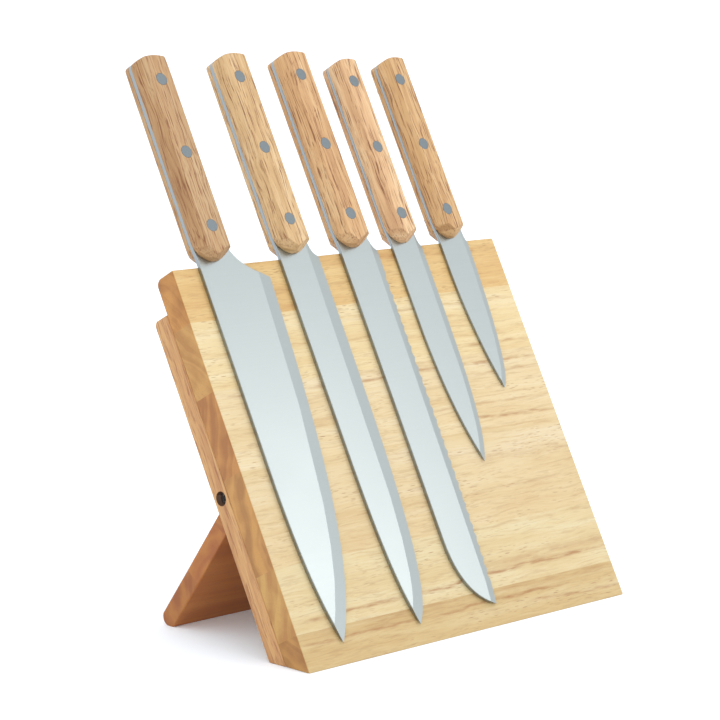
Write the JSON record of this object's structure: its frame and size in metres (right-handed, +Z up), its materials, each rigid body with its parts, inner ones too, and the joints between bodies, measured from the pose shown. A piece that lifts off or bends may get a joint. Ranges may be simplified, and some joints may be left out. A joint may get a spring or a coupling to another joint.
{
  "type": "folding magnetic knife board with knives",
  "caption": "Leaning wooden magnetic knife board on a folding rear leg, holding a chef's, slicing, bread, utility and paring knife with riveted wooden handles.",
  "frame": {"origin": "middle of the board's bevelled base, on the surface that it stands on", "axes": "+Z up; +X along the board, from the chef's knife to the paring knife; the knives face -Y"},
  "size_m": [0.232, 0.1588, 0.2911],
  "materials": {
    "board_wood_pale": "planed and oiled rubberwood",
    "board_wood_cream": "planed and oiled rubberwood",
    "board_wood_tan": "planed and oiled rubberwood",
    "rail_wood": "planed and oiled rubberwood",
    "leg_wood": "planed and oiled rubberwood",
    "magnet_nickel": "nickel-plated neodymium block",
    "keeper_steel": "cold-rolled steel strip",
    "zinc_steel": "zinc-plated steel",
    "blade_steel": "satin-ground stainless steel",
    "rivet_steel": "stainless rivets sanded flush",
    "handle_wood_tan": "open-grained hardwood, sanded and oiled",
    "handle_wood_pale": "open-grained hardwood, sanded and oiled",
    "handle_wood_red": "open-grained hardwood, sanded and oiled"
  },
  "bodies": {
    "stand": {"plank_1": "board_wood_pale", "plank_2": "board_wood_cream", "plank_3": "board_wood_pale", "plank_4": "board_wood_cream", "plank_5": "board_wood_pale", "plank_6": "board_wood_tan", "lower_magnets": "magnet_nickel", "upper_magnets": "magnet_nickel", "lower_keeper": "keeper_steel", "upper_keeper": "keeper_steel", "lower_channel_cover": "board_wood_tan", "upper_channel_cover": "board_wood_tan", "left_rail": "rail_wood", "right_rail": "rail_wood"},
    "leg": {"leg_plank_1": "leg_wood", "leg_plank_2": "leg_wood", "leg_plank_3": "leg_wood", "pivot_screws": "zinc_steel", "pivot_washers": "zinc_steel"},
    "chef_knife": {"chef_blade": "blade_steel", "chef_front_scale": "handle_wood_tan", "chef_rear_scale": "handle_wood_tan", "chef_rivets": "rivet_steel"},
    "slicer_knife": {"slicer_blade": "blade_steel", "slicer_front_scale": "handle_wood_pale", "slicer_rear_scale": "handle_wood_pale", "slicer_rivets": "rivet_steel"},
    "bread_knife": {"bread_blade": "blade_steel", "bread_front_scale": "handle_wood_tan", "bread_rear_scale": "handle_wood_tan", "bread_rivets": "rivet_steel"},
    "utility_knife": {"utility_blade": "blade_steel", "utility_front_scale": "handle_wood_red", "utility_rear_scale": "handle_wood_red", "utility_rivets": "rivet_steel"},
    "paring_knife": {"paring_blade": "blade_steel", "paring_front_scale": "handle_wood_pale", "paring_rear_scale": "handle_wood_pale", "paring_rivets": "rivet_steel"}
  },
  "joints": [
    {"name": "leg_hinge", "type": "hinge", "parent": "stand", "child": "leg", "pos_m": [0, 0.05499, 0.07616], "axis": [1, 0, 0], "range_deg": [-65, 0]},
    {"name": "chef_lift_off", "type": "slide", "parent": "stand", "child": "chef_knife", "axis": [0, -0.8829, 0.4695], "range_m": [0, 0.12]},
    {"name": "slicer_lift_off", "type": "slide", "parent": "stand", "child": "slicer_knife", "axis": [0, -0.8829, 0.4695], "range_m": [0, 0.12]},
    {"name": "bread_lift_off", "type": "slide", "parent": "stand", "child": "bread_knife", "axis": [0, -0.8829, 0.4695], "range_m": [0, 0.12]},
    {"name": "utility_lift_off", "type": "slide", "parent": "stand", "child": "utility_knife", "axis": [0, -0.8829, 0.4695], "range_m": [0, 0.12]},
    {"name": "paring_lift_off", "type": "slide", "parent": "stand", "child": "paring_knife", "axis": [0, -0.8829, 0.4695], "range_m": [0, 0.12]}
  ]
}
